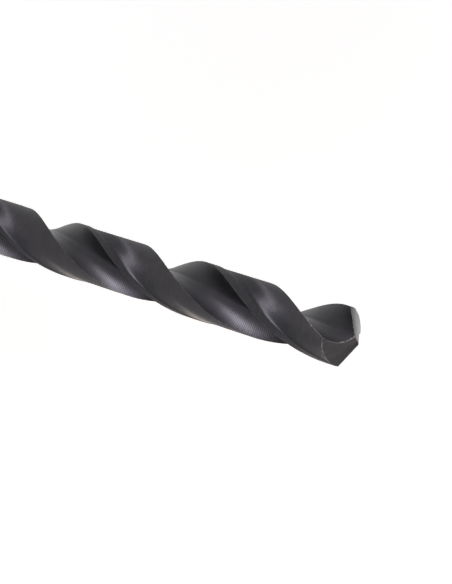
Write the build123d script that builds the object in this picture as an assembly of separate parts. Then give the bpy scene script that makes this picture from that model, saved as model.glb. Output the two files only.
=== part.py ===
from build123d import *
from math import asin, cos, degrees, pi, radians, sin, sqrt, tan
import os

os.makedirs("parts", exist_ok=True)

# Jobber twist drill, right hand, two flutes. +Z runs along the axis from the shank end to the point.

# driving dimensions, millimetres and degrees
drill_diameter = 6.0
shank_diameter = 5.96
overall_length = 93.0
flute_length = 57.0
flute_lead = 38.1
point_angle = 118.0
web_at_point = 0.99
web_growth = 0.035
land_angle = 81.3
margin_angle = 20.3
margin_narrowing = 0.243
clearance_depth = 0.117
step_slope = 0.16
heel_hollow = 1.45
lip_relief = 7.45
cone_half_angle = 56.2
cone_setback = 1.37
run_out_length = 11.0
clearance_fade = 5.0
body_lead_in = 1.0
shank_taper = 0.8
shank_chamfer = 0.4

radius = drill_diameter / 2
body_radius = radius - clearance_depth
half_web = web_at_point / 2
half_point = radians(point_angle / 2)
half_cone = radians(cone_half_angle)
lip_reach = sqrt(radius ** 2 - half_web ** 2)
lip_turn = asin(half_web / radius)

# Each flank is ground as part of one wide cone. The lip is a straight line of that cone, half the web away
# from the drill axis, and the cone leans back behind it by the lip relief.
lip_line = Vector(sin(half_point), 0, -cos(half_point))
flank_normal = Vector(cos(half_point), -tan(radians(lip_relief)) * sin(half_point), sin(half_point)).normalized()
cone_axis = lip_line * cos(half_cone) - flank_normal * sin(half_cone)
cone_apex = Vector(-cone_setback, half_web, (lip_reach + cone_setback) / tan(half_point))

# height of the chisel edge above the lip corners: where the drill axis leaves the cone
sideways = cone_setback * cone_axis.X - half_web * cone_axis.Y
steepness = cone_axis.Z ** 2 - cos(half_cone) ** 2
mixed = sideways * cone_axis.Z
rest = sideways ** 2 - (cone_setback ** 2 + half_web ** 2) * cos(half_cone) ** 2
point_height = cone_apex.Z + (-mixed - sqrt(mixed ** 2 - steepness * rest)) / steepness
corner_z = overall_length - point_height
top_z = overall_length + 0.5 * radius

# the grinding cone, tall enough to take in the whole bit below the point
cone_height = 1.3 * overall_length
cone_blank = Pos(0, 0, -cone_height / 2) * Cone(cone_height * tan(half_cone), 0, cone_height)
cone_seat = Location(Plane(origin=cone_apex, z_dir=cone_axis * -1))
flank_cone = Pos(0, 0, corner_z) * Rot(0, 0, -degrees(lip_turn)) * cone_seat * cone_blank


def lip_wall(r):
    # flute wall that leaves a straight lip once the flank is ground, seen in a cross section
    reach = sqrt(r ** 2 - half_web ** 2)
    turn = asin(half_web / r) - lip_turn - 2 * pi * (lip_reach - reach) / (flute_lead * tan(half_point))
    return (r * cos(turn), r * sin(turn))


def heel_wall(part):
    # nearly flat at the heel, hollowed ever more toward the web
    x = body_radius * cos(heel_turn) + heel_hollow * max(1 - part, 0) ** 3.2
    return (x, part * body_radius * sin(heel_turn))


# flute cross section with its lip corner on the X axis
heel_turn = radians(180 - land_angle)
web_floor = (1.23 * half_web * cos(radians(35)), 1.23 * half_web * sin(radians(35)))
flute_points = [lip_wall(radius * k) for k in (1.3, 1.0, 0.78, 0.58, 0.42, 0.3)]
flute_points.append(web_floor)
flute_points += [heel_wall(k) for k in (0.2, 0.32, 0.48, 0.7, 1.0, 1.3)]
flute_corners = [(0.2 * radius, 2.2 * radius), (2.2 * radius, 2.2 * radius), (2.2 * radius, 0)]
flute_floor = Spline(*flute_points)
flute_back = Polyline(flute_points[-1], *flute_corners, flute_points[0])
flute_profile = Wire([flute_floor, *flute_back.edges()])

# the grinding wheel moves outward to thicken the web, then climbs out of the steel along its own curve
flute_middle = heel_turn / 2
flute_end_z = overall_length - flute_length
run_out_z = flute_end_z + run_out_length
lift_at_run_out = (corner_z - run_out_z) * web_growth / 2
climb = radius - 1.2 * half_web - lift_at_run_out
wheel_radius = (run_out_length ** 2 + climb ** 2) / (2 * climb)


def flute_section(z):
    lift = (corner_z - max(z, run_out_z)) * web_growth / 2
    # swing back so that the leading edge keeps its helix while the web thickens
    swing = asin(lift * sin(flute_middle) / radius)
    lift += wheel_radius - sqrt(wheel_radius ** 2 - max(run_out_z - z, 0) ** 2)
    turn = 360 * (z - corner_z) / flute_lead - degrees(swing)
    return Pos(0, 0, z) * Rot(0, 0, turn) * Pos(lift * cos(flute_middle), lift * sin(flute_middle)) * flute_profile


def around(r, turn):
    return (r * cos(turn), -r * sin(turn))


def clearance_section(z):
    # a sector from the sloping step behind the margin, round the land and out past the heel
    near = radians(margin_angle - margin_narrowing * (corner_z - z))
    far = radians(land_angle + 14) + (corner_z - z) * web_growth / radius
    lean = step_slope / clearance_depth / radius
    foot = around(0.8 * radius, near + lean * (radius - 0.8 * radius))
    brow = around(1.2 * radius, near - lean * 0.2 * radius)
    outside = [around(1.2 * radius, far), around(1.9 * radius, (near + far) / 2)]
    profile = Wire(Polyline(brow, foot, around(0.8 * radius, far), *outside, brow).edges())
    return Pos(0, 0, z) * Rot(0, 0, 360 * (z - corner_z) / flute_lead) * profile


def stations(low, high):
    count = round((high - low) * 12 / flute_lead) + 1
    return [low + (high - low) * i / count for i in range(count + 1)]


flute_cutter = Solid.make_loft([flute_section(z) for z in stations(flute_end_z - 0.3 * radius, top_z + 0.2 * radius)])

# body clearance: the sector outside a core that opens out to full size near the end of the flutes
fade_z = run_out_z - clearance_fade
core_outline = [
    (0, 0, top_z + radius),
    (body_radius, 0, top_z + radius),
    (body_radius, 0, run_out_z),
    (radius + 0.1 * clearance_depth, 0, fade_z),
    (2.2 * radius, 0, fade_z),
    (2.2 * radius, 0, fade_z - radius),
    (0, 0, fade_z - radius),
]
core = revolve(make_face(Polyline(*core_outline, close=True)), Axis.Z)
sector = Solid.make_loft([clearance_section(z) for z in stations(fade_z - 0.3 * radius, top_z + 0.4 * radius)])
clearance_cutter = sector - core

# round bar: the shank is ground a hair smaller than the body and tapers out to it just before the flutes end
shank_radius = shank_diameter / 2
body_low = flute_end_z - body_lead_in
bar_outline = [
    (0, 0, 0),
    (shank_radius - shank_chamfer, 0, 0),
    (shank_radius, 0, shank_chamfer),
    (shank_radius, 0, body_low - shank_taper),
    (radius, 0, body_low),
    (radius, 0, top_z),
    (0, 0, top_z),
]
# its seam is turned to the middle of the land, clear of the lip corners
blank = Rot(0, 0, -land_angle / 2) * revolve(make_face(Polyline(*bar_outline, close=True)), Axis.Z)

half_turn = Rot(0, 0, 180)
drill = blank - flute_cutter - half_turn * flute_cutter
drill = drill - clearance_cutter - half_turn * clearance_cutter
drill = drill & flank_cone & (half_turn * flank_cone)
drill.label = "drill"

export_step(drill, "parts/drill.step")
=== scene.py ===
from math import asin, cos, pi, radians, sin, sqrt, tan

import bpy
import numpy as np
from mathutils import Matrix, Vector


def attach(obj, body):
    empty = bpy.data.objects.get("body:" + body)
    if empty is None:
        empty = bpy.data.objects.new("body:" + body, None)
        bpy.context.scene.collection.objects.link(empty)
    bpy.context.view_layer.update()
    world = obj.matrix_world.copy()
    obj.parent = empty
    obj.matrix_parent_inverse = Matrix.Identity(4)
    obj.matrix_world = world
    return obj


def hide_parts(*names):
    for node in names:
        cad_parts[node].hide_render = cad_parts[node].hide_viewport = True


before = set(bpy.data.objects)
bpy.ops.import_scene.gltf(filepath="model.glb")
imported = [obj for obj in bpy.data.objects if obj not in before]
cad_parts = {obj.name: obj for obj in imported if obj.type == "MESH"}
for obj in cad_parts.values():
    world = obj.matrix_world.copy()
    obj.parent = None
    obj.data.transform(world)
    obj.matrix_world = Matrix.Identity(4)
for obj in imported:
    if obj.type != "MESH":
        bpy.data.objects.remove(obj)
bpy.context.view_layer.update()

# ---------------------------------------------------------------- the drill
# One bar of high speed steel, hardened and black oxide finished: a plain round shank, and a body with two
# right-hand flutes, narrow margins, ground clearance behind them and a two-flank point. The flutes are cut by
# a formed wheel that follows the lead, so the tree below turns and lifts that wheel's form up the bar.

# sizes in millimetres and radians
drill_radius = 3.0
shank_radius = 2.98
overall_length = 93.0
flute_length = 57.0
flute_lead = 38.1
half_point = radians(59.0)
half_web = 0.495
web_growth = 0.035
web_floor_reach, web_floor_turn = 1.23 * half_web, radians(35)
land_turn = radians(81.3)
margin_turn = radians(20.3)
margin_narrowing = radians(0.243)
narrowest_margin = 0.07
clearance_depth = 0.117
step_width = 0.9
step_curl, foot_curl = 1.6, 4.5
heel_hollow, heel_curl = 1.45, 3.2
lip_relief = radians(7.45)
cone_angle = radians(56.2)
cone_setback = 1.37
run_out_length = 11.0
run_out_web = 1.2 * half_web
clearance_fade = 5.0
shank_taper_low, shank_taper_high = 34.2, 35.0
shank_chamfer = 0.4

body_radius = drill_radius - clearance_depth
lip_reach = sqrt(drill_radius**2 - half_web**2)
lip_turn = asin(half_web / drill_radius)
lip_line = Vector((sin(half_point), 0, -cos(half_point)))
flank_normal = Vector((cos(half_point), -tan(lip_relief) * sin(half_point), sin(half_point))).normalized()
cone_axis = lip_line * cos(cone_angle) - flank_normal * sin(cone_angle)
cone_apex = Vector((-cone_setback, half_web, (lip_reach + cone_setback) / tan(half_point)))
cone_grip = cos(cone_angle) ** 2
cone_slope = cone_axis.z**2 - cone_grip


def above_lip_corner(x, y):
    """Height of a ground flank over a point of the section, from the level of the lip corners."""
    across_x = x * cos(lip_turn) - y * sin(lip_turn) - cone_apex.x
    across_y = x * sin(lip_turn) + y * cos(lip_turn) - cone_apex.y
    side = across_x * cone_axis.x + across_y * cone_axis.y
    rest = side**2 - (across_x**2 + across_y**2) * cone_grip
    mixed = side * cone_axis.z
    return cone_apex.z + (-mixed - sqrt(mixed**2 - cone_slope * rest)) / cone_slope


corner_z = overall_length - above_lip_corner(0, 0)
heel_turn = pi - land_turn
flute_middle = heel_turn / 2
run_out_z = overall_length - flute_length + run_out_length
fade_z = run_out_z - clearance_fade
climb = drill_radius - run_out_web - (corner_z - run_out_z) * web_growth / 2
wheel_radius = (run_out_length**2 + climb**2) / (2 * climb)


# the wheel's form: the curve of one flute's wall, from past the lip corner over the web to past the heel
def lip_wall(r):
    """Flute wall that leaves a straight lip once the flank is ground."""
    reach = sqrt(r**2 - half_web**2)
    turn = asin(half_web / r) - lip_turn - 2 * pi * (lip_reach - reach) / (flute_lead * tan(half_point))
    return r * cos(turn), r * sin(turn)


def heel_wall(part):
    """Nearly flat at the heel, hollowed ever more toward the web."""
    hollow = heel_hollow * max(1 - part, 0) ** heel_curl
    return body_radius * cos(heel_turn) + hollow, part * body_radius * sin(heel_turn)


def run_along(points):
    """Distance from the start of a polyline to each of its points."""
    return np.concatenate([[0], np.cumsum(np.linalg.norm(np.diff(points, axis=0), axis=1))])


def through(knots, count, fine_count=4001):
    """An even polyline of count points along the smooth curve through the knots, and its length."""
    knots = np.array(knots)
    way = run_along(knots)
    gap = np.diff(way)
    bend = np.eye(len(knots))
    load = np.zeros_like(knots)
    for i in range(1, len(knots) - 1):
        bend[i, i - 1 : i + 2] = gap[i - 1], 2 * (gap[i - 1] + gap[i]), gap[i]
        load[i] = 6 * ((knots[i + 1] - knots[i]) / gap[i] - (knots[i] - knots[i - 1]) / gap[i - 1])
    curl = np.linalg.solve(bend, load)
    at = np.linspace(0, way[-1], fine_count)
    i = np.clip(np.searchsorted(way, at) - 1, 0, len(gap) - 1)
    a, b, h = (way[i + 1] - at)[:, None], (at - way[i])[:, None], gap[i][:, None]
    fine = (curl[i] * a**3 + curl[i + 1] * b**3) / (6 * h)
    fine += (knots[i] / h - curl[i] * h / 6) * a + (knots[i + 1] / h - curl[i + 1] * h / 6) * b
    run = run_along(fine)
    even = np.linspace(0, run[-1], count)
    return np.stack([np.interp(even, run, fine[:, 0]), np.interp(even, run, fine[:, 1])], axis=1), run[-1]


form_steps = 600
form_knots = [lip_wall(drill_radius * share) for share in (1.3, 1.0, 0.78, 0.58, 0.42, 0.3)]
form_knots += [(web_floor_reach * cos(web_floor_turn), web_floor_reach * sin(web_floor_turn))]
form_knots += [heel_wall(share) for share in (0.2, 0.32, 0.48, 0.7, 1.0, 1.3)]
wheel_form, form_length = through(form_knots, form_steps + 1)
toward_middle = np.array((cos(flute_middle), sin(flute_middle)))
deepest = float(np.argmin(wheel_form @ toward_middle)) / form_steps


def crossing(values):
    """Where a row of values first changes sign, in steps from its start."""
    i = int(np.flatnonzero(np.diff(np.sign(values)))[0])
    return i + values[i] / (values[i] - values[i + 1])


def chisel_corner(passes=6):
    """Share of the flute wall, from lip to heel, at which the chisel edge meets it."""
    height = overall_length
    for _ in range(passes):
        lift = (corner_z - height) * web_growth / 2
        turn = 2 * pi * (height - corner_z) / flute_lead - asin(lift * sin(flute_middle) / drill_radius)
        moved = wheel_form + lift * toward_middle
        reach = np.hypot(moved[:, 0], moved[:, 1])
        lip_end = crossing(reach - drill_radius)
        heel_end = form_steps - crossing(reach[::-1] - body_radius)
        turned = moved @ np.array(((cos(turn), sin(turn)), (-sin(turn), cos(turn))))
        start, end = int(lip_end) + 1, int(heel_end)
        over = [above_lip_corner(x, y) - above_lip_corner(-x, -y) for x, y in turned[start:end]]
        corner = start + crossing(np.array(over))
        before, after = turned[int(corner)], turned[int(corner) + 1]
        height = corner_z + above_lip_corner(*(before + (corner % 1) * (after - before)))
    return (corner - lip_end) / (heel_end - lip_end)


# columns of the section's half turn, from one lip corner to the next, and rows up the bar
margin_columns, step_columns, land_columns, wall_columns = 12, 14, 34, 44
heel_column = margin_columns + step_columns + land_columns
chisel_column = heel_column + wall_columns
half_columns = chisel_column + wall_columns
shank_rows, body_rows, point_rows = 11, 211, 22
straight_below = 34.0
point_zone = 3.0
point_base = corner_z - point_zone
rim_guess = 3.5
bar_rows = [(0, 0), (shank_radius - shank_chamfer, 0), (shank_radius, shank_chamfer)]
bar_rows += [(shank_radius, z) for z in np.linspace(3, straight_below - 1, shank_rows)]
bar_rows += [(shank_radius, shank_taper_low), (drill_radius, shank_taper_high)]
bar_rows += [(drill_radius, z) for z in np.linspace(shank_taper_high, point_base, body_rows + 1)[1:]]
base_row = len(bar_rows) - 1
rows = len(bar_rows) + point_rows

# the base mesh carries the wheel's form as a line and one loose point for each row of the turned bar
form_points = form_steps + 1
base_points = [(x, y, 0) for x, y in wheel_form] + [(r, 0, z) for r, z in bar_rows]
blank_mesh = bpy.data.meshes.new("wheel form and bar rows")
blank_mesh.from_pydata(base_points, [(i, i + 1) for i in range(form_steps)], [])
drill = bpy.data.objects.new("drill_bit", blank_mesh)
bpy.context.collection.objects.link(drill)


class Wire:
    """A number on its way through a node tree. Sums and products of wires add the nodes for them."""

    def __init__(self, socket):
        self.socket = socket

    def __add__(self, other):
        return reckon("ADD", self, other)

    def __radd__(self, other):
        return reckon("ADD", other, self)

    def __sub__(self, other):
        return reckon("SUBTRACT", self, other)

    def __rsub__(self, other):
        return reckon("SUBTRACT", other, self)

    def __mul__(self, other):
        return reckon("MULTIPLY", self, other)

    def __rmul__(self, other):
        return reckon("MULTIPLY", other, self)

    def __truediv__(self, other):
        return reckon("DIVIDE", self, other)

    def __neg__(self):
        return reckon("MULTIPLY", self, -1)


# the helpers below add their nodes to the tree that this name holds at the time
tree = bpy.data.node_groups.new("Grind a twist drill", "GeometryNodeTree")
tree.is_modifier = True


def plug(socket, value):
    if isinstance(value, Wire):
        value = value.socket
    if isinstance(value, bpy.types.NodeSocket):
        tree.links.new(value, socket)
    else:
        socket.default_value = value


def put(kind, settings=None, **plugs):
    """A node of that kind, with its settings and with its input sockets plugged by name."""
    node = tree.nodes.new(kind)
    for key, value in (settings or {}).items():
        setattr(node, key, value)
    for key, value in plugs.items():
        plug(node.inputs[key.replace("_", " ")], value)
    return node


def reckon(operation, *values):
    node = put("ShaderNodeMath", {"operation": operation})
    for socket, value in zip(node.inputs, values):
        plug(socket, value)
    return Wire(node.outputs[0])


def either(test, if_true, if_false):
    return test * if_true + (1 - test) * if_false


def blended(a, b, share):
    return a + (b - a) * share


def held(value):
    """The value kept between 0 and 1."""
    return reckon("MINIMUM", reckon("MAXIMUM", value, 0.0), 1.0)


def vector_of(x, y, z=0.0):
    return put("ShaderNodeCombineXYZ", X=x, Y=y, Z=z).outputs[0]


def parts_of(vector):
    return [Wire(socket) for socket in put("ShaderNodeSeparateXYZ", Vector=vector).outputs]


def stored(geometry, name, value, kind="FLOAT", domain="POINT"):
    node = put("GeometryNodeStoreNamedAttribute", {"data_type": kind, "domain": domain})
    for socket, given_value in (("Geometry", geometry), ("Name", name), ("Value", value)):
        plug(node.inputs[socket], given_value)
    return node.outputs[0]


def named(name):
    return Wire(put("GeometryNodeInputNamedAttribute", {"data_type": "FLOAT"}, Name=name).outputs[0])


def at_index(geometry, value, index, kind="FLOAT"):
    settings = {"data_type": kind, "domain": "POINT", "clamp": True}
    return put("GeometryNodeSampleIndex", settings, Geometry=geometry, Value=value, Index=index).outputs[0]


def position():
    return put("GeometryNodeInputPosition").outputs[0]


def repeated(times):
    """The two ends of a zone whose nodes run a number of times."""
    first, last = tree.nodes.new("GeometryNodeRepeatInput"), tree.nodes.new("GeometryNodeRepeatOutput")
    first.pair_with_output(last)
    first.inputs["Iterations"].default_value = times
    return first, last


tree.interface.new_socket("Geometry", in_out="INPUT", socket_type="NodeSocketGeometry")
tree.interface.new_socket("Geometry", in_out="OUTPUT", socket_type="NodeSocketGeometry")
given = tree.nodes.new("NodeGroupInput")
sizes = {}


def size(name, value):
    """A named input of the tree."""
    socket = tree.interface.new_socket(name, in_out="INPUT", socket_type="NodeSocketFloat")
    socket.default_value = value
    sizes[socket.identifier] = value
    return Wire(next(s for s in given.outputs if s.identifier == socket.identifier))


radius = size("Drill radius", drill_radius)
lead = size("Flute lead", flute_lead)
lip_height = size("Height of the lip corners", corner_z)
growth = size("Web growth", web_growth)
middle = size("Flute middle", flute_middle)
run_out = size("Height where the run-out starts", run_out_z)
wheel = size("Wheel radius", wheel_radius)
fade = size("Height where the clearance ends", fade_z)
clearance = size("Clearance depth", clearance_depth)
margin_wide = size("Margin turn", margin_turn)
margin_less = size("Margin narrowing", margin_narrowing)
step_turn = size("Step turn", step_width / drill_radius)
lowest = size("Deepest share of the form", deepest)
chisel = size("Chisel corner share", chisel_corner())
base_z = size("Height where the point rows start", point_base)
apex_x, apex_y, apex_z = (size("Cone apex " + side, at) for side, at in zip("XYZ", cone_apex))
axis_x, axis_y, axis_z = (size("Cone axis " + side, at) for side, at in zip("XYZ", cone_axis))
cone_half = size("Cone half angle", cone_angle)
lip_swing = size("Lip turn", lip_turn)
form_run = size("Length of the form", form_length)

base = given.outputs["Geometry"]
form = put("GeometryNodeMeshToCurve", Mesh=base).outputs["Curve"]


def form_at(share):
    """Point of the wheel's form at a share of its length."""
    settings = {"mode": "FACTOR", "use_all_curves": True}
    return parts_of(put("GeometryNodeSampleCurve", settings, Curves=form, Factor=share).outputs["Position"])


def flank_height(x, y):
    """The cone that one flank is ground to, over a point of the section."""
    c, s = reckon("COSINE", lip_swing), reckon("SINE", lip_swing)
    across_x = x * c - y * s - apex_x
    across_y = x * s + y * c - apex_y
    side = across_x * axis_x + across_y * axis_y
    grip = reckon("COSINE", cone_half) * reckon("COSINE", cone_half)
    slope = axis_z * axis_z - grip
    rest = side * side - (across_x * across_x + across_y * across_y) * grip
    mixed = side * axis_z
    return lip_height + apex_z + (-mixed - reckon("SQRT", mixed * mixed - slope * rest)) / slope


# the sheet that becomes the bar: columns round it, rows up it
grid = put("GeometryNodeMeshGrid", Size_X=1.0, Size_Y=1.0, Vertices_X=2 * half_columns + 1, Vertices_Y=rows)
index = Wire(put("GeometryNodeInputIndex").outputs[0])
sheet_column = reckon("FLOOR", (index + 0.5) / rows)
row = index - sheet_column * rows
second_half = reckon("FLOOR", (sheet_column + 0.5) / half_columns)
row_index = reckon("MINIMUM", row, base_row) + form_points
row_point = parts_of(at_index(base, position(), row_index, "FLOAT_VECTOR"))
top_share = reckon("MAXIMUM", (row - base_row) / point_rows, 0.0)
sheet = stored(grid.outputs[0], "bar", row_point[0])
sheet = stored(sheet, "rise", row_point[2])
sheet = stored(sheet, "column", sheet_column - second_half * half_columns)
sheet = stored(sheet, "half", second_half)
sheet = stored(sheet, "top", top_share)
sheet = stored(sheet, "z", row_point[2] + top_share * rim_guess)
sheet = stored(sheet, "rim", sheet_column * rows + (rows - 1))

# each pass turns the sheet into the bar, then lets the point rows settle on the ground flanks
settling_passes, halvings = 9, 15
turn_in, turn_out = repeated(settling_passes)
plug(turn_in.inputs["Geometry"], sheet)
sheet = turn_in.outputs["Geometry"]
z, column, bar = named("z"), named("column"), named("bar")
web_lift = (lip_height - reckon("MAXIMUM", z, run_out)) * growth / 2
swing = reckon("ARCSINE", web_lift * reckon("SINE", middle) / radius)
below = reckon("MAXIMUM", run_out - z, 0.0)
lift = web_lift + wheel - reckon("SQRT", reckon("MAXIMUM", wheel * wheel - below * below, 0.0))
shift_x, shift_y = lift * reckon("COSINE", middle), lift * reckon("SINE", middle)
faded = held((run_out - z) / (run_out - fade))
land_radius = reckon("MINIMUM", radius, radius - clearance + clearance * 1.1 * faded)


def reach_at(share):
    """Point of the lifted form and its distance from the drill's axis."""
    x, y = form_at(share)[:2]
    x, y = x + shift_x, y + shift_y
    return x, y, reckon("SQRT", x * x + y * y)


# where the lifted form crosses the margin circle and the land circle, halving the interval each time
seek_in, seek_out = repeated(halvings)
seek_out.repeat_items.clear()
for name in ("lip low", "lip high", "heel low", "heel high"):
    seek_out.repeat_items.new("FLOAT", name)
plug(seek_in.inputs["lip low"], 0.0)
plug(seek_in.inputs["lip high"], lowest)
plug(seek_in.inputs["heel low"], lowest)
plug(seek_in.inputs["heel high"], 1.0)
lip_low, lip_high = Wire(seek_in.outputs["lip low"]), Wire(seek_in.outputs["lip high"])
heel_low, heel_high = Wire(seek_in.outputs["heel low"]), Wire(seek_in.outputs["heel high"])
lip_try = (lip_low + lip_high) * 0.5
heel_try = (heel_low + heel_high) * 0.5
lip_out = reckon("GREATER_THAN", reach_at(lip_try)[2], radius)
heel_out = reckon("GREATER_THAN", reach_at(heel_try)[2], land_radius)
plug(seek_out.inputs["lip low"], either(lip_out, lip_try, lip_low))
plug(seek_out.inputs["lip high"], either(lip_out, lip_high, lip_try))
plug(seek_out.inputs["heel low"], either(heel_out, heel_low, heel_try))
plug(seek_out.inputs["heel high"], either(heel_out, heel_try, heel_high))
lip_found = (Wire(seek_out.outputs["lip low"]) + Wire(seek_out.outputs["lip high"])) * 0.5
heel_found = (Wire(seek_out.outputs["heel low"]) + Wire(seek_out.outputs["heel high"])) * 0.5
sheet = stored(sheet, "lip share", lip_found)
sheet = stored(sheet, "heel share", heel_found)
lip_share, heel_share = named("lip share"), named("heel share")

lip_x, lip_y = reach_at(lip_share)[:2]
heel_x, heel_y = reach_at(heel_share)[:2]
lip_angle = reckon("ARCTAN2", lip_y, lip_x) - swing
heel_angle = reckon("ARCTAN2", heel_y, heel_x) - swing - pi
margin_angle = -reckon("MAXIMUM", margin_wide - margin_less * (lip_height - z), narrowest_margin)


def eased(share, even_part=0.35):
    """Columns drawn closer together at both ends."""
    share = held(share)
    return share * even_part + share * share * (3 - 2 * share) * (1 - even_part)


# round the land: margin, step with its concave foot, land and heel
in_margin = eased(column / margin_columns)
in_step = reckon("POWER", held((column - margin_columns) / step_columns), step_curl)
in_land = eased((column - margin_columns - step_columns) / land_columns)
round_angle = blended(lip_angle, margin_angle, in_margin) - step_turn * in_step
round_angle = blended(round_angle, heel_angle, in_land)
round_radius = radius - (radius - land_radius) * (1 - reckon("POWER", 1 - in_step, foot_curl))
round_way = (lip_angle - round_angle) * radius

# along the flute's wall: heel, chisel corner and lip
in_heel = eased((column - heel_column) / wall_columns)
in_lip = eased((column - chisel_column) / wall_columns)
chisel_share = blended(lip_share, heel_share, chisel)
wall_share = blended(blended(heel_share, chisel_share, in_heel), lip_share, in_lip)
wall_x, wall_y, wall_far = reach_at(wall_share)
wall_radius = wall_far * reckon("MINIMUM", radius / wall_far, 1.0)
wall_angle = reckon("ARCTAN2", wall_y, wall_x) - swing + pi
wall_way = (lip_angle - heel_angle) * radius + (heel_share - wall_share) * form_run

on_wall = reckon("GREATER_THAN", column, heel_column + 0.5)
helix = (reckon("MAXIMUM", z, straight_below) - lip_height) * 2 * pi / lead
angle = either(on_wall, wall_angle, round_angle) + helix + named("half") * pi
reach = either(on_wall, wall_radius, round_radius) * bar / radius
place = vector_of(reach * reckon("COSINE", angle), reach * reckon("SINE", angle), z)
sheet = put("GeometryNodeSetPosition", Geometry=sheet, Position=place).outputs[0]
here_x, here_y = parts_of(position())[:2]
lower_flank = reckon("MINIMUM", flank_height(here_x, here_y), flank_height(-here_x, -here_y))
rim_z = Wire(at_index(sheet, lower_flank, named("rim")))
top = named("top")
settled_z = either(reckon("GREATER_THAN", top, 0.0), blended(base_z, rim_z, top), named("rise"))
sheet = stored(sheet, "z", settled_z)
sheet = stored(sheet, "way", either(on_wall, wall_way, round_way))
sheet = stored(sheet, "behind", (margin_angle - round_angle) * radius)
plug(turn_out.inputs["Geometry"], sheet)
body = turn_out.outputs["Geometry"]

# the zones that the finish tells apart, and the surface unrolled in millimetres
on_face = named("column")
on_land = reckon("GREATER_THAN", on_face, margin_columns) * reckon("LESS_THAN", on_face, heel_column)
body = stored(body, "flute", reckon("GREATER_THAN", on_face, heel_column), domain="FACE")
body = stored(body, "land", on_land, domain="FACE")
body = stored(body, "UVMap", vector_of(named("way"), named("z")), "FLOAT2", "CORNER")

# the flanks: a patch from the lip back to the heel, pressed onto its cone
patch_columns, patch_rows = heel_column + 1, wall_columns + 1
patch = put(
    "GeometryNodeMeshGrid", Size_X=1.0, Size_Y=1.0, Vertices_X=patch_columns, Vertices_Y=patch_rows
).outputs[0]
back = reckon("FLOOR", (index + 0.5) / patch_rows)
inward = index - back * patch_rows
u, v = back / heel_column, inward / wall_columns


def rim_point(rim_column):
    rim_index = rim_column * rows + (rows - 1)
    return parts_of(at_index(body, position(), rim_index, "FLOAT_VECTOR"))[:2]


outer = rim_point(back)
heel_line = rim_point(inward + heel_column)
lip_edge = rim_point(2 * half_columns - inward)
first_column = index * 0
lip_corner, heel_corner = rim_point(first_column), rim_point(first_column + heel_column)
near_chisel = rim_point(first_column + half_columns + chisel_column)
far_chisel = rim_point(first_column + chisel_column)
spot = []
for i in range(2):
    chisel_edge = blended(near_chisel[i], far_chisel[i], u)
    corners = blended(blended(lip_corner[i], heel_corner[i], u), chisel_edge, v)
    spot.append(blended(outer[i], chisel_edge, v) + blended(lip_edge[i], heel_line[i], u) - corners)
own, other = flank_height(*spot), flank_height(-spot[0], -spot[1])
on_ridge = reckon("GREATER_THAN", v, 1 - 0.5 / wall_columns)
pressed = vector_of(spot[0], spot[1], blended(own, (own + other) * 0.5, on_ridge))
flank = put("GeometryNodeSetPosition", Geometry=patch, Position=pressed).outputs[0]
flank = stored(flank, "flank", 1.0, domain="FACE")
flank = stored(flank, "UVMap", vector_of(spot[0], spot[1]), "FLOAT2", "CORNER")
other_flank = put("GeometryNodeTransform", Geometry=flank, Rotation=(0.0, 0.0, pi)).outputs[0]
both = tree.nodes.new("GeometryNodeJoinGeometry")
for piece in (body, flank, other_flank):
    tree.links.new(piece, both.inputs[0])
whole = put("GeometryNodeMergeByDistance", Geometry=both.outputs[0], Distance=0.002).outputs[0]
whole = put("GeometryNodeFlipFaces", Mesh=whole).outputs[0]

# the distance to the nearest sharp edge, for the wear and the painted edge highlight, and the creases that
# shading keeps
wear_and_glint_fold, crease_fold = radians(36), radians(28)
fold = Wire(put("GeometryNodeInputMeshEdgeAngle").outputs["Unsigned Angle"])
wear_and_glint_edges = reckon("GREATER_THAN", fold, wear_and_glint_fold)
edges = put("GeometryNodeSeparateGeometry", {"domain": "EDGE"}, Geometry=whole, Selection=wear_and_glint_edges).outputs[0]
to_edge = put("GeometryNodeProximity", {"target_element": "EDGES"})
plug(to_edge.inputs[0], edges)
whole = stored(whole, "edge gap", to_edge.outputs["Distance"])

# into metres, less a hair, so that the bit stays inside its solid's box
metres_across, metres_up = 0.00099999, 0.00099998
in_metres = (metres_across, metres_across, metres_up)
whole = put("GeometryNodeTransform", Geometry=whole, Scale=in_metres).outputs[0]
whole = put("GeometryNodeSetShadeSmooth", {"domain": "FACE"}, Geometry=whole).outputs[0]
soft = reckon("LESS_THAN", fold, crease_fold)
whole = put("GeometryNodeSetShadeSmooth", {"domain": "EDGE"}, Geometry=whole, Shade_Smooth=soft).outputs[0]
whole = put("GeometryNodeRealizeInstances", Geometry=whole).outputs[0]
dressed = put("GeometryNodeSetMaterial", Geometry=whole)
finished = tree.nodes.new("NodeGroupOutput")
plug(finished.inputs[0], dressed.outputs[0])

# the finish: thin black oxide over bright ground and milled steel, rubbed off at the point's edges; the
# bare-steel line along every sharp edge is partly that wear and partly a painted edge highlight, and the land
# behind the step is painted lighter where its highlight falls
steel = bpy.data.materials.new("black oxide steel")
steel.use_nodes = True
geometry_tree, tree = tree, steel.node_tree
shader = tree.nodes["Principled BSDF"]

dark_oxide, pale_oxide = (0.044, 0.0418, 0.0453, 1), (0.055, 0.0524, 0.0565, 1)
margin_oxide = (0.037, 0.0355, 0.039, 1)
# lighter oxide behind the step: partly its milled streaks, partly a painted highlight where the key lamp's
# sheen falls on the land
streaked_oxide_and_sheen = (0.052, 0.050, 0.0565, 1)
dark_flute, pale_flute = (0.038, 0.0363, 0.041, 1), (0.049, 0.0468, 0.053, 1)
dark_flank, pale_flank = (0.110, 0.102, 0.108, 1), (0.178, 0.167, 0.173, 1)
# bare steel where the oxide is rubbed off, also the colour of a painted highlight laid along every sharp edge
bare_steel_glint, black = (0.45, 0.42, 0.40, 1), (0.0, 0.0, 0.0, 1)

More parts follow.
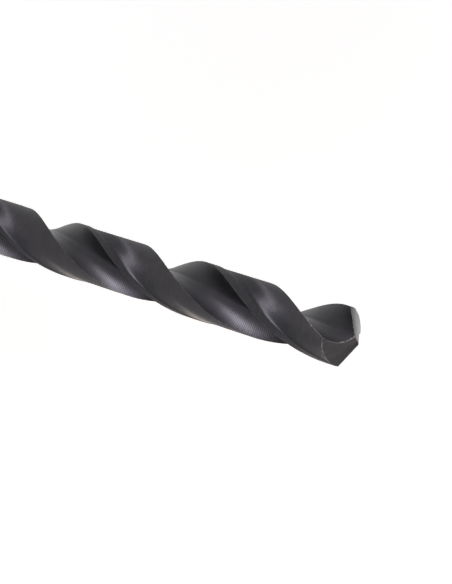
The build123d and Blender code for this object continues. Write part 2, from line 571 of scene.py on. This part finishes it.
# in millimetres of the unrolled surface
feed_pitch, pass_pitch = 0.207, 0.24
body_finish_low, body_finish_high = 36.0, 42.0
streaks_and_sheen_start, streaks_and_sheen_end = 0.5, 2.8
wear_and_glint_width, chip_width = 0.02, 0.13

# in metres, as the finished bit is
mark_depth = 0.000005
wear_and_glint_low, wear_and_glint_high = 0.084, 0.090


def attribute(name):
    return Wire(put("ShaderNodeAttribute", {"attribute_name": name}).outputs["Fac"])


def cloud(x, y, scale, detail=2.0):
    """Soft noise from 0 to 1 over the unrolled surface."""
    at = vector_of(x, y)
    noise = put("ShaderNodeTexNoise", {"noise_dimensions": "2D"}, Vector=at, Scale=scale, Detail=detail)
    return Wire(noise.outputs[0])


def colour(a, b, share):
    node = put("ShaderNodeMix", {"data_type": "RGBA"})
    for socket, value in zip((node.inputs[0], node.inputs[6], node.inputs[7]), (share, a, b)):
        plug(socket, value)
    return node.outputs[2]


def step(value, low, high):
    settings = {"interpolation_type": "SMOOTHSTEP"}
    return Wire(put("ShaderNodeMapRange", settings, Value=value, From_Min=low, From_Max=high).outputs[0])


way, height = parts_of(put("ShaderNodeUVMap", {"uv_map": "UVMap"}).outputs[0])[:2]
on_flank, edge_gap, behind_step = attribute("flank"), attribute("edge gap"), attribute("behind")
past_shank = step(height, body_finish_low, body_finish_high)
flute_zone = attribute("flute") * past_shank
land_zone = attribute("land") * past_shank
near_step = 1 - step(behind_step, streaks_and_sheen_start, streaks_and_sheen_end)

feed = height * (2 * pi / feed_pitch) + cloud(way, height, 0.5) * 2.5 - way * 2.0
passes = height * (2 * pi / pass_pitch) + cloud(way * 0.6, height, 0.9) * 6 - way * 1.2
pass_marks = reckon("SINE", passes) + reckon("SINE", passes * 2) * 0.5 + reckon("SINE", passes * 3) * 0.33
pass_marks = pass_marks * blended(0.3, 1.0, cloud(way * 0.35, height * 1.2, 1.6))
streaks = cloud(way * 0.25, height * 2.6, 1.6, 3.0)
flute_marks = reckon("SINE", feed) * 0.45 + streaks * 1.5
land_marks = pass_marks * blended(0.05, 1.0, near_step) + streaks * blended(1.2, 3.5, near_step)
flank_marks = cloud(way, height, 9.0, 4.0) * 1.2
shank_marks = cloud(way * 0.1, height * 3, 1.5) * 0.4
marks = blended(blended(shank_marks, land_marks, land_zone), flute_marks, flute_zone)
marks = blended(marks, flank_marks, on_flank)
bump = put("ShaderNodeBump", Height=marks, Distance=mark_depth, Strength=1.0)
plug(shader.inputs["Normal"], bump.outputs[0])

patchy = cloud(way * 0.5, height, 0.8)
oxide = colour(margin_oxide, colour(dark_oxide, pale_oxide, patchy), step(behind_step, -0.1, 0.1))
# painted highlight: the land just behind the step gets the lighter colour, on top of its real milled streaks
oxide = colour(oxide, streaked_oxide_and_sheen, land_zone * near_step)
oxide = colour(oxide, colour(dark_flute, pale_flute, patchy), flute_zone)
grain = (1 - step(cloud(way * 0.4, height * 2.8, 2.0, 4.0), 0.3, 0.7)) * 0.14
feed_lines = (reckon("SINE", feed) + 1) * 0.23
oxide = colour(oxide, black, blended(grain, feed_lines, flute_zone) * (1 - on_flank))
oxide = colour(oxide, colour(dark_flank, pale_flank, cloud(way, height, 3.0, 4.0)), on_flank)
ragged = step(cloud(way, height, 3.5, 4.0), 0.4, 0.75)
near_point = step(parts_of(put("ShaderNodeTexCoord").outputs["Object"])[2], wear_and_glint_low, wear_and_glint_high)
# wear and painted edge highlight: a faint bare-steel line along every sharp edge, stronger and chipped near
# the point where the oxide is rubbed off
wear_and_edge_glint = 1 - step(edge_gap, 0.0, wear_and_glint_width + ragged * chip_width)
wear_and_edge_glint = wear_and_edge_glint * blended(0.14, 0.55 + ragged * 0.45, near_point)
plug(shader.inputs["Base Color"], colour(oxide, bare_steel_glint, wear_and_edge_glint * 0.8))

smoother = attribute("flute") * 0.10 + on_flank * 0.14 - attribute("land") * 0.03
plug(shader.inputs["Roughness"], 0.44 - smoother + streaks * 0.06)
shader.inputs["Metallic"].default_value = 1.0
shader.inputs["Anisotropic"].default_value = 0.8
lengthwise = reckon("MAXIMUM", land_zone * near_step, 1 - past_shank) * (1 - on_flank)
plug(shader.inputs["Anisotropic Rotation"], lengthwise * 0.25)
round_the_bar = put("ShaderNodeTangent", {"direction_type": "UV_MAP", "uv_map": "UVMap"})
plug(shader.inputs["Tangent"], round_the_bar.outputs[0])
dressed.inputs["Material"].default_value = steel

grinding = drill.modifiers.new("grinding", "NODES")
grinding.node_group = geometry_tree
for identifier, value in sizes.items():
    grinding[identifier] = value
ground = bpy.data.meshes.new_from_object(drill.evaluated_get(bpy.context.evaluated_depsgraph_get()))
drill.modifiers.clear()
drill.data = ground
drill.data.materials.clear()
drill.data.materials.append(steel)
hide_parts("drill")
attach(drill, "root")

# ---------------------------------------------------------------- the floor
# A sheet of plain white paper under the standing bit. The camera, and what mirrors in the steel, see it as
# lit from within, so it stays white behind the bit and still takes the bit's shadow.
floor_half = 2.0
floor_corners = [(-floor_half, -floor_half, 0), (floor_half, -floor_half, 0)]
floor_corners += [(floor_half, floor_half, 0), (-floor_half, floor_half, 0)]
floor_mesh = bpy.data.meshes.new("floor")
floor_mesh.from_pydata(floor_corners, [], [(0, 1, 2, 3)])
floor = bpy.data.objects.new("floor", floor_mesh)
bpy.context.collection.objects.link(floor)
white = bpy.data.materials.new("white paper")
white.use_nodes = True
tree = white.node_tree
paper = tree.nodes["Principled BSDF"]
paper.inputs["Base Color"].default_value = (0.9, 0.9, 0.9, 1)
paper.inputs["Roughness"].default_value = 0.9
paper.inputs["Emission Color"].default_value = (1, 1, 1, 1)
path = tree.nodes.new("ShaderNodeLightPath")
seen = reckon("MAXIMUM", Wire(path.outputs["Is Camera Ray"]), Wire(path.outputs["Is Glossy Ray"]))
seen = reckon("MAXIMUM", seen, Wire(path.outputs["Is Transmission Ray"]))
floor_x, floor_y = parts_of(put("ShaderNodeTexCoord").outputs["Object"])[:2]
from_the_bit = reckon("SQRT", floor_x * floor_x + floor_y * floor_y)
plug(paper.inputs["Emission Strength"], seen * blended(0.6, 1.0, step(from_the_bit, 0.05, 0.4)))
floor.data.materials.append(white)

# ---------------------------------------------------------------- the camera
# A long lens that looks down on the standing bit and is rolled over, so that the bit lies across the view
# with its point to the right. It is aimed a little below the point.
view_azimuth, view_elevation, view_roll = radians(-99.5347), radians(40.7422), radians(107.5901)
view_distance = 214.9
aimed_at = Vector((-0.645, 0.108, corner_z - 16.158))
level_back = Vector((cos(view_azimuth), sin(view_azimuth), 0))
level_right = Vector((-sin(view_azimuth), cos(view_azimuth), 0))
camera_back = level_back * cos(view_elevation) + Vector((0, 0, sin(view_elevation)))
camera_right = level_right * cos(view_roll) + camera_back.cross(level_right) * sin(view_roll)
camera_up = camera_back.cross(camera_right)
camera_place = (aimed_at + camera_back * view_distance) * 0.001
camera_data = bpy.data.cameras.new("camera")
camera_data.sensor_width = 36.0
camera_data.lens = 129.99
camera_data.clip_start, camera_data.clip_end = 0.01, 10
camera = bpy.data.objects.new("camera", camera_data)
bpy.context.collection.objects.link(camera)
turned = Matrix((camera_right, camera_up, camera_back)).transposed().to_4x4()
camera.matrix_world = Matrix.Translation(camera_place) @ turned
bpy.context.scene.camera = camera
bpy.context.scene.view_settings.view_transform = "Standard"

# ---------------------------------------------------------------- the lamps
# Round soft boxes about the bit, placed from the camera's view: a key at the upper left with a wide bluish
# halo, a fill on the near side, a warm bounce low by the floor and two weak ones behind and overhead.
world = bpy.data.worlds.new("studio")
bpy.context.scene.world = world
world.use_nodes = True
sky = world.node_tree.nodes["Background"]
sky.inputs["Color"].default_value = (1, 1, 1, 1)
sky.inputs["Strength"].default_value = 0.12
upper_bit = Vector((0, 0, 0.08))


def from_view(right, up, back, distance):
    """Place at that distance from the upper bit, toward the camera's right, up and back."""
    way_out = camera_right * right + camera_up * up + camera_back * back
    return upper_bit + way_out.normalized() * distance


def soft_lamp(name, place, width, power, tint=(1, 1, 1)):
    data = bpy.data.lights.new(name, "AREA")
    data.shape = "DISK"
    data.size = width
    data.energy = power
    data.color = tint
    lamp = bpy.data.objects.new(name, data)
    bpy.context.collection.objects.link(lamp)
    lamp.visible_camera = False
    lamp.location = place
    lamp.rotation_euler = (upper_bit - place).to_track_quat("-Z", "Y").to_euler()


soft_lamp("key", from_view(-0.55, 0.51, 0.67, 0.4), 0.19, 2.1, (1.0, 0.98, 0.97))
soft_lamp("key halo", from_view(-0.52, 0.40, 0.75, 0.41), 0.40, 0.4, (0.62, 0.66, 1.0))
soft_lamp("near side", from_view(0.0, -0.9, 0.4, 0.5), 0.34, 0.65)
soft_lamp("low bounce", Vector((0.2, 0.11, 0.03)), 0.11, 0.36, (1.0, 0.84, 0.68))
soft_lamp("far side", from_view(0.62, 0.3, -0.72, 0.4), 0.22, 0.15)
soft_lamp("overhead", Vector((0.38, 0.06, 0.45)), 0.5, 0.06)
